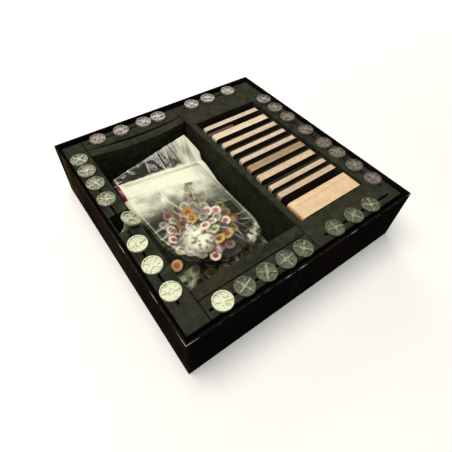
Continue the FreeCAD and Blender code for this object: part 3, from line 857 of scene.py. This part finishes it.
def makeUpperBag():
    bag = upperBag
    solid = solidOf("upper_bag")
    low, high = [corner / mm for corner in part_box("upper_bag")]
    across = np.linspace(0.0, 1.0, bag["columns"] + 1)
    *lines, lineRows = np.array(bag["lines"]).T
    rowAt = np.cumsum(lineRows)
    bandStart, bandEnd = [int(row) + 1 for row in rowAt[-2:]]
    middles, slants = [np.interp(np.arange(bandEnd), rowAt, values) for values in lines]
    pillow, band, flap = slice(0, bandEnd), slice(bandStart, bandEnd), slice(bandEnd, None)
    inset = bag["sideInset"]
    spans = [spanOf(solid, middle, low.x, high.x) if slant == 0 else (low.x + inset, high.x - inset)
             for middle, slant in zip(middles, slants)]
    left, right = [np.array(ends)[:, None] for ends in zip(*spans)]
    x = left + (right - left) * across
    y = middles[:, None] + slants[:, None] * (1 - 2 * across)

    # The pillow over the tokens, from the front weld to the back of the band
    top = sideHeights(solid, x, y, "upper")
    under = sideHeights(solid, x, y, "lower")
    least = tokenTops(x, y, bagTokens)
    edge = np.minimum(np.minimum(x - left, right - x), y - middles[0])
    inside = ease((edge - sheet["weld"]) / bag["shoulder"])
    onBand = ease((np.arange(bandEnd)[:, None] - bandStart + bag["bandRows"]) / bag["bandBlend"])
    top = relax(top, least)
    sag = sheet["sag"] * ease((top - least) / sheet["sagReach"] - sheet["sagStart"])
    top = np.maximum(top - sag * inside * (1 - onBand), least)

    # The flap, two films close together
    stations, lengths, lifts = np.array(bag["flap"]).T
    length = np.interp(across, stations, lengths)
    lift = np.radians(np.interp(across, stations, lifts))
    flapShare = np.linspace(0.0, 1.0, bag["flapRows"] + 1)[1:, None]
    flapTop = top[-1] + length * np.sin(lift) * flapShare
    x = np.vstack([x, np.tile(x[-1], (bag["flapRows"], 1))])
    y = np.vstack([y, y[-1] + length * np.cos(lift) * flapShare])
    z = np.vstack([top, flapTop])
    least = np.vstack([least, np.full(flapTop.shape, -farAway)])
    onFlap = np.vstack([np.zeros(top.shape), ease(flapShare / bag["flapRoot"]) * np.ones(across.shape)])
    loose = np.vstack([inside * (1 - bag["bandCalm"] * onBand), np.ones(flapTop.shape)])

    # Folds and creases, on the flat sheet
    flatX = np.tile(across * (high.x - low.x), (z.shape[0], 1))
    steps = np.hypot(np.diff(y, axis=0), np.diff(z, axis=0)).mean(axis=1)
    flatY = np.tile(np.concatenate([[0.0], np.cumsum(steps)])[:, None], (1, z.shape[1]))
    pressed, mark = pressCreases(flatX, flatY, drawCreases(bag["creases"], bag["seed"]))
    folds = crumple(flatX, flatY, bag) * bag["foldShare"] * (1 + onFlap)
    z = np.maximum(z + (folds + pressed) * loose, least)
    x += wander(flatY, across, bag)
    pillowUnder = np.minimum(under + bag["underLift"], top - bag["pillowLeast"])
    zUnder = np.vstack([pillowUnder, z[flap] - bag["flapGap"]])
    zUnder = closeBorder(np.minimum(zUnder, z - sheet["apart"]), z)

    # Welded edges
    fromRight = flatX[0, -1] - flatX
    fromRight[pillow] = right - x[pillow]
    fromEdge = np.minimum(flatX, fromRight)
    fromEdge[pillow] = edge
    weld = weldMarks(np.minimum(fromEdge, flatY[-1, 0] - flatY), bag["cutLevel"])
    weld *= 1 + bag["cornerGain"] * nearSpot(x, y, *bag["cornerWeld"])
    stripAt, stripWidth = np.array(bag["rightStrip"]).T
    strip = 1 - ease((fromRight - np.interp(y, stripAt, stripWidth)) / bag["stripBlend"])
    weld = np.maximum(weld, bag["stripLevel"] * strip * (y > stripAt[0]))
    foldStart, foldEnd, foldWidth = bag["foldedStrip"]
    lineLevel, lineWidth = bag["foldedLine"]
    fold = lineLevel * ridge(fromRight - foldWidth, lineWidth) + bag["foldedLevel"] * (fromRight < foldWidth)
    weld = np.maximum(weld, fold * (y > foldStart) * (y < foldEnd))

    # The white panel of the band, which spreads into a haze in front of it that is partly milky film and
    # partly painted reflection, with a clear window
    mottle = ripple(flatX, flatY, *bag["mottle"])
    hazeAt, hazeReach, hazeLevel = np.array(bag["haze"]).T
    ahead = np.maximum(flatY[bandStart] - flatY, 0.0)
    patches = mottled(mottle, *bag["patches"])
    patches += (1 - patches) * np.exp(-ahead / bag["patchFade"])
    level = np.interp(across, hazeAt, hazeLevel)
    panel = (level + (1 - level) * np.exp(-ahead / bag["hazeFade"])) * patches
    panel *= ease(bag["hazeEdge"] * (1 - ahead / np.interp(across, hazeAt, hazeReach)))
    shards = ripple(flatX, flatY, *bag["shards"])
    # The first of these spots is painted glare
    for *spot, level in bag["milkyAndGlare"]:
        near = nearSpot(x, y, *spot, bag["milkyEdge"])
        panel = np.maximum(panel, near * mottled(shards, level, *bag["shardPatches"]))
    first, last = np.array(bag["window"])
    runX, runY = last - first
    share = unit(((x - first[0]) * runX + (y - first[1]) * runY) / (runX ** 2 + runY ** 2))
    beside = np.hypot(x - first[0] - share * runX, y - first[1] - share * runY)
    panel *= 1 - bag["windowDepth"] * ridge(beside, bag["windowWidth"], bag["windowEdge"])
    panel[band] = 1.0

    # Behind the band it ends raggedly, and reaches up the right end of the flap
    behind = np.maximum(flatY - flatY[bandEnd - 1], 0.0)
    shortest, longest = bag["ragged"]
    rags = unit(0.5 + ripple(flatX, flatY * 0, *bag["rags"]))
    ragged = ease(1 - behind / (shortest + (longest - shortest) * rags))
    lobeStart, lobeBlend, lobeLevel = bag["lobe"]
    lobe = lobeLevel * ease((across - lobeStart) / lobeBlend) * mottled(mottle, *bag["lobePatches"])
    panel[flap] = np.maximum(ragged, lobe)[flap]
    # Painted shade: the white is dimmed towards the right end of the bag
    panel[pillow] *= 1 - (1 - bag["shadeEnd"]) * ease((across - bag["shadeFrom"]) / bag["shadeBlend"])

    # In front of the tokens the film's gloss and milkiness are turned down, as painted shade, so that only
    # the fold round them shows
    leftY, leftX = np.array(bag["leftFold"]).T
    rightY, rightX = np.array(bag["rightFold"]).T
    fromFold = np.minimum(x - np.interp(y, leftY, leftX), np.interp(y, rightY, rightX, right=farAway) - x)
    sheen = bag["clearEdge"] + (1 - bag["clearEdge"]) * ease(fromFold / bag["clearBlend"] + 1.0)
    lineLevel, lineWidth, lineEnd = bag["foldLine"]
    foldLine = lineLevel * ridge(fromFold, lineWidth) * (x < lineEnd)
    marks = {"crease": mark * (1 - (1 - bag["creaseOnPanel"]) * panel) * sheen,
             "weld": unit(np.maximum(weld * sheen, foldLine)),
             "panel": unit(panel + bag["panelMottle"] * mottle * (panel > 0.5)), "sheen": sheen}
    dyed = np.zeros(z.shape, bool)
    dyed[band] = across * (high.x - low.x) < bag["dyed"]
    mesh = closedFilm((x, y, z), (x, y, zUnder), marks, bag["underShare"], dyed)
    piece = addPiece("upper_bag_film", mesh, [film, crimsonFilm], "upper_bag", ["upper_bag"])


makeUpperBag()
print("upper bag filled")

# A slip of tan card lies on the tokens under the band: its two ends, width and thickness
cardSlip = dict(ends=[(-23.5, 43, 35.5), (-41, 21, 33.5)], width=7.2, thickness=0.4, colour="c0a28a")


def makeCardSlip():
    near, far = [Vector(end) * mm for end in cardSlip["ends"]]
    mesh, colours = startPrinted()
    size = Vector((cardSlip["width"] * mm, cardSlip["thickness"] * mm, (far - near).length))
    matrix = turnedTo(far - near, (near + far) / 2) @ Matrix.Diagonal(size).to_4x4()
    bmesh.ops.create_cube(mesh, size=1.0, matrix=matrix)
    for face in mesh.faces:
        face[colours] = linear(cardSlip["colour"])
    addPiece("card_slip", mesh, [cardStock], "upper_bag")


makeCardSlip()

# Closing ridges of the bag: two round beads pressed together, as milky as the band
zipLook = dict(bead=0.75, apart=2.6, inset=1, segments=10, sunk=0.55, marks=("panel", "sheen"))


def makeZip():
    mesh = bmesh.new()
    low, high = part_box("zip_strip")
    middle = (low.z + high.z) / 2 - zipLook["sunk"] * mm
    bead = zipLook["bead"] * mm
    for forward in (zipLook["apart"], 0.0):
        start = Vector((low.x, high.y - (zipLook["inset"] + forward) * mm, middle))
        end = Vector((high.x, low.y + (zipLook["inset"] + zipLook["apart"] - forward) * mm, middle))
        bmesh.ops.create_cone(mesh, cap_ends=True, cap_tris=False, segments=zipLook["segments"], radius1=bead,
                              radius2=bead, depth=(end - start).length,
                              matrix=turnedTo(end - start, (start + end) / 2))
    for face in mesh.faces:
        face.smooth = len(face.verts) == 4
    for name in zipLook["marks"]:
        layer = mesh.verts.layers.float.new(name)
        for vert in mesh.verts:
            vert[layer] = 1.0
    addPiece("zip_strip_beads", mesh, [film], "upper_bag", ["zip_strip"])


makeZip()

# Lower bag: a slack pillow of film under the upper bag, crumpled at spots: x, y, reach and milkiness
lowerBag = dict(
    columns=96, rows=150, left=-108.5, right=6, front=-96.5, back=93.5, bow=8,
    low=7.5, top=24.4, highest=0.4, seam=14, seamRipple=(18, 23.3), seamWander=3.5,
    shoulder=20, wander=1.2, folds=[(30, 2.6), (13, 0.8)], foldLevel=0.8, seed=21.3,
    crumpled=[(-99, -70, 15, 0.55), (3, -83, 14, 0.15)], crumpledEdge=1.3,
    mottle=(5, 25.3), patches=(0.5, 1.2, 0), cutLevel=0.5, hidden=0.12, sheen=0.5, underShare=0.2,
    creases=[
        (24, (2, 112), (2, 40), 90, 50, (10, 30), (0.4, 1)),
        (12, (4, 24), (16, 40), 0, 90, (5, 13), (0.4, 1)),
        (24, (1, 14), (20, 185), 0, 30, (10, 24), (0.4, 1.2)),
        (16, (100, 113), (20, 185), 0, 30, (10, 24), (0.4, 1.2)),
    ],
)


def makeLowerBag():
    bag = lowerBag
    across = np.linspace(0.0, 1.0, bag["columns"] + 1)
    deep = np.linspace(0.0, 1.0, bag["rows"] + 1)[:, None]
    frontLine = bag["front"] + bag["bow"] * atSides(across)
    backLine = bag["back"] - bag["bow"] * atSides(across)
    y = frontLine + (backLine - frontLine) * deep
    x = bag["left"] + (bag["right"] - bag["left"]) * across + wander(y, across, bag)
    edge = np.minimum(np.minimum(x - bag["left"], bag["right"] - x), np.minimum(y - frontLine, backLine - y))
    inside = ease((edge - sheet["weld"]) / bag["shoulder"])
    seam = bag["seam"] + ripple(x, y, *bag["seamRipple"]) * bag["seamWander"]
    pressed, mark = pressCreases(x - bag["left"], y - bag["front"], drawCreases(bag["creases"], bag["seed"]))
    folds = np.minimum(crumple(x, y, bag) + pressed, bag["highest"])
    top = seam + (bag["top"] + folds - seam) * inside
    bottom = np.minimum(seam + (bag["low"] - seam) * inside, top - sheet["apart"])
    bottom = closeBorder(bottom, top)
    shown = np.zeros(top.shape)
    panel = np.zeros(top.shape)
    patches = mottled(ripple(x, y, *bag["mottle"]), *bag["patches"])
    for *spot, level in bag["crumpled"]:
        near = nearSpot(x, y, *spot, bag["crumpledEdge"])
        shown = np.maximum(shown, near)
        panel = np.maximum(panel, level * near * patches)
    shown = bag["hidden"] + (1 - bag["hidden"]) * shown
    marks = {"crease": mark * shown, "weld": weldMarks(edge, bag["cutLevel"]) * shown, "panel": panel,
             "sheen": bag["sheen"] * shown}
    mesh = closedFilm((x, y, top), (x, y, bottom), marks, bag["underShare"])
    piece = addPiece("lower_bag_film", mesh, [film], "lower_bag", ["lower_bag"])


makeLowerBag()

# What shows of the lower bag's tokens: x, y, height of the lowest point, tilt, way of tilt and print
looseTokens = dict(
    thickness=2, radius=7,
    spots=[(-99, -49, 14, 22, 210, 0), (-86, -63, 12, 14, 120, 1),
           (-71, -76, 10, 12, 30, 1), (-55, -80, 9, 7, 200, 2),
           (-40, -83, 9, 9, 80, 1), (-25, -80, 9, 8, 310, 2),
           (-10, -77, 9, 10, 150, 1), (-63, -62, 9, 6, 20, 2),
           (-46, -65, 9, 8, 250, 1), (-30, -64, 9, 7, 90, 2)],
    prints=["d98a4a e8a868 b0502a", "3c2922 4a332a 291c18", "241b18 2e231f 191412"],
)


def makeLooseTokens():
    loose = looseTokens
    mesh, colours = startPrinted()
    for x, y, lowest, tilt, way, kind in loose["spots"]:
        lean = math.radians(tilt)
        turn = math.radians(way)
        up = Vector((math.sin(lean) * math.cos(turn), math.sin(lean) * math.sin(turn), math.cos(lean)))
        height = lowest + loose["radius"] * math.sin(lean) + loose["thickness"] / 2 * math.cos(lean)
        token = {"centre": Vector((x, y, height)) * mm, "up": up, "radius": loose["radius"] * mm,
                 "half": loose["thickness"] / 2 * mm}
        addToken(mesh, colours, token, loose["prints"][kind])
    mesh.normal_update()
    holdFlat(addPiece("lower_bag_tokens", mesh, [tokenBoard], "lower_bag"))


makeLooseTokens()
print("lower bag filled")

# Stage: white floor that glows more with distance, broad soft light from above, and a low panel at the back
# for the film to reflect
stage = dict(floor="f6f6f4", floorSize=8, glow=(0.35, 1.7, 0.17, 0.78), world=0.22,
             worldColour="fbfaf6")


def makeStage():
    mesh = bmesh.new()
    bmesh.ops.create_grid(mesh, x_segments=1, y_segments=1, size=stage["floorSize"] / 2)
    white = linear(stage["floor"])
    paint = {"Roughness": 0.8, "Base Color": white, "Emission Color": white}
    material, node, shader, place = startMaterial("paintedFloor", paint)
    rays = node("LightPath").outputs
    seen = rays["Is Camera Ray"]
    for name in ("Is Glossy Ray", "Is Transmission Ray"):
        seen = node("Math", [seen, rays[name]], "MAXIMUM")
    away = node("VectorMath", [place], "LENGTH")
    level = node("MapRange", span(away, *stage["glow"]))
    feed(shader, {"Emission Strength": node("Math", [level, seen], "MULTIPLY")})
    floor = addObject("floor", mesh, [material])

    world = scene.world = bpy.data.worlds.new("studio")
    world.use_nodes = True
    node = partial(addNode, world.node_tree)
    seen = node("LightPath").outputs["Is Camera Ray"]
    level = node("MapRange", span(seen, 0.0, 1.0, stage["world"]))
    feed(world.node_tree.nodes["Background"], {"Color": linear(stage["worldColour"]), "Strength": level})


lamps = {
    "keyPanel": dict(place=(-0.35, 0.1, 1.4), size=0.9, power=18, colour="fffaf3"),
    "backPanel": dict(place=(0.66, 1.15, 0.7), size=0.8, power=6.5, colour="f8fff0"),
}


def makeLamps():
    for name, lamp in lamps.items():
        light = bpy.data.lights.new(name, "AREA")
        light.shape = "SQUARE"
        light.size = lamp["size"]
        light.energy = lamp["power"]
        light.color = linear(lamp["colour"])[:3]
        holder = bpy.data.objects.new(name, light)
        place = Vector(lamp["place"])
        holder.matrix_world = turnedTo(-place, place, "-Z")
        scene.collection.objects.link(holder)


# Camera at the photograph's angle: it leans a little to the left
view = dict(place=(-0.19173, -0.23846, 0.35382), aim=(-0.03109, -0.03019, 0.035), lean=2.53,
            lens=28.385, sensor=36, shift=(0.0184, -0.0181), nearest=0.01)


def makeCamera():
    lens = bpy.data.cameras.new("camera")
    lens.lens = view["lens"]
    lens.sensor_width = view["sensor"]
    lens.shift_x, lens.shift_y = view["shift"]
    lens.clip_start = view["nearest"]
    camera = bpy.data.objects.new("camera", lens)
    place = Vector(view["place"])
    lean = Matrix.Rotation(math.radians(view["lean"]), 4, "Z")
    camera.matrix_world = turnedTo(Vector(view["aim"]) - place, place, "-Z") @ lean
    scene.collection.objects.link(camera)
    scene.camera = camera


makeStage()
makeLamps()
makeCamera()
scene.view_settings.view_transform = "Standard"
print("stage lit")
